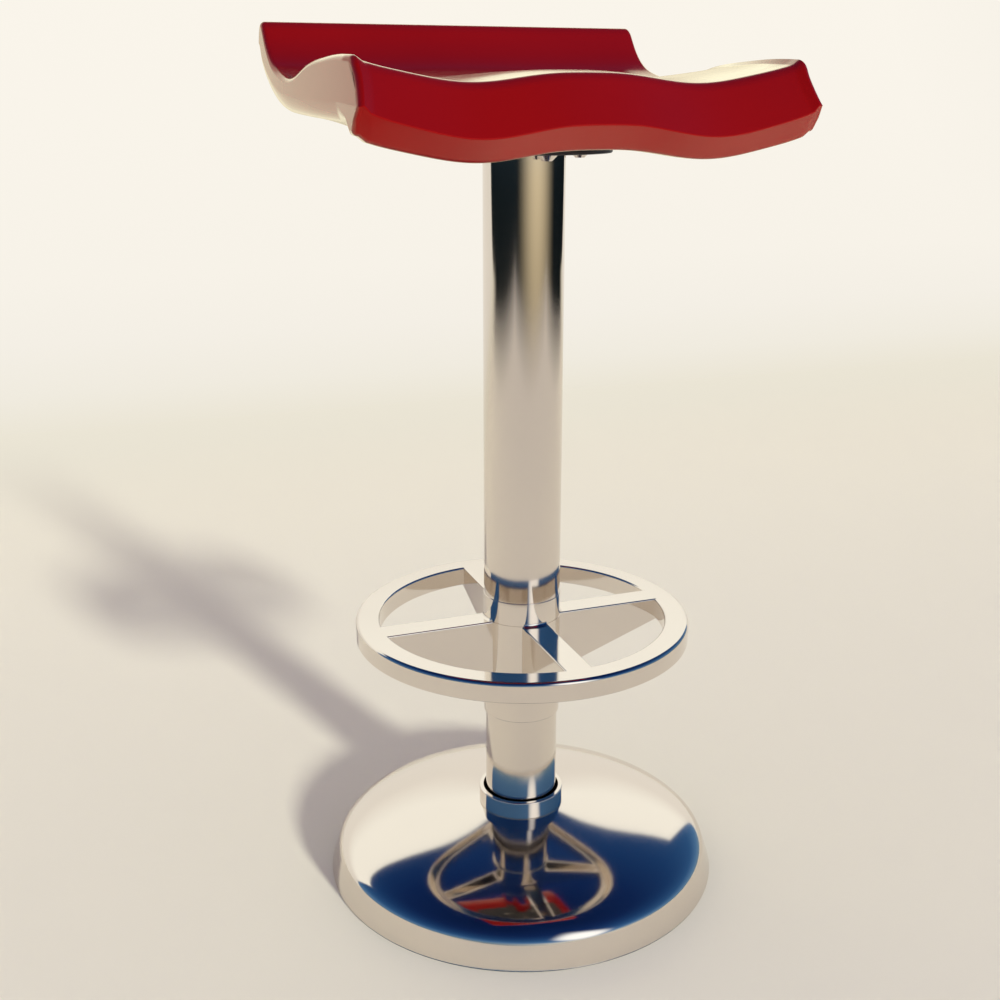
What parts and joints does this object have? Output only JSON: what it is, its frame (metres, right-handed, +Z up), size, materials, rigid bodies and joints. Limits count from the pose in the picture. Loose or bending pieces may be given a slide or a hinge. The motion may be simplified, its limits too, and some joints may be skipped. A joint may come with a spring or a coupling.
{
  "type": "bar stool",
  "caption": "Height-adjustable swivel bar stool: domed chrome base, telescoping gas-lift column, spoked foot ring and moulded seat with a wavy front and raised back lip.",
  "frame": {"origin": "on the floor at the column's axis", "axes": "+Z up along the column; the seat's wavy front edge faces -Y and its raised back lip +Y; +X to the seated person's left"},
  "size_m": [0.4, 0.4174, 0.8438],
  "materials": {
    "chrome": "mirror chrome plate",
    "chromed_casting": "mirror chrome plate on cast aluminium",
    "bright_steel": "bright turned",
    "black_steel": "black powder coat",
    "iron": "as cast",
    "rubber": "matt",
    "aluminium": "turned",
    "nylon": "natural nylon",
    "grip_plastic": "fine grain",
    "brass": "turned",
    "red_gloss": "high gloss red lacquer"
  },
  "bodies": {
    "base": {"floor_ring": "rubber", "ballast_plate": "iron", "base_shell": "chrome", "base_collar": "chrome", "buffer_ring": "rubber", "lower_tube": "chrome", "tube_flange": "bright_steel", "flange_screws": "bright_steel", "lift_tube": "black_steel", "foot_cap": "bright_steel", "guide_bush": "nylon", "column_spacer": "nylon", "column_cap": "nylon", "lower_race": "bright_steel"},
    "swivel": {"piston_rod": "bright_steel", "upper_race": "bright_steel", "bearing_balls": "bright_steel", "ball_cage": "nylon", "rod_clip": "bright_steel", "piston": "aluminium", "piston_seal": "rubber"},
    "lift": {"gas_cylinder": "black_steel", "rod_gland": "bright_steel", "seat_plate": "black_steel", "cover_tube": "chrome", "foot_ring": "chromed_casting", "sleeve_bush": "nylon", "seat_shell": "red_gloss", "seat_panel": "grip_plastic", "seat_inserts": "brass", "seat_screws": "chrome", "lever_pin": "bright_steel"},
    "lever": {"release_lever": "bright_steel", "lever_grip": "grip_plastic"},
    "valve": {"valve_button": "bright_steel"}
  },
  "joints": [
    {"name": "seat_swivel", "type": "hinge", "parent": "base", "child": "swivel", "pos_m": [0, 0, 0.025], "axis": [0, 0, 1], "continuous": true},
    {"name": "seat_height", "type": "slide", "parent": "swivel", "child": "lift", "axis": [0, 0, 1], "range_m": [-0.103, 0.095]},
    {"name": "lever_lift", "type": "hinge", "parent": "lift", "child": "lever", "pos_m": [0.03625, 0.0169, 0.738], "axis": [0.4226, -0.9063, 0], "range_deg": [0, 4], "stiffness_Nm_per_rad": 2, "springref_deg": -5.73},
    {"name": "valve_press", "type": "slide", "parent": "lift", "child": "valve", "axis": [0, 0, -1], "range_m": [0, 0.0032]}
  ],
  "couplings": [
    {"joint": "valve_press", "follows": "lever_lift", "m_per_rad": 0.0432}
  ]
}
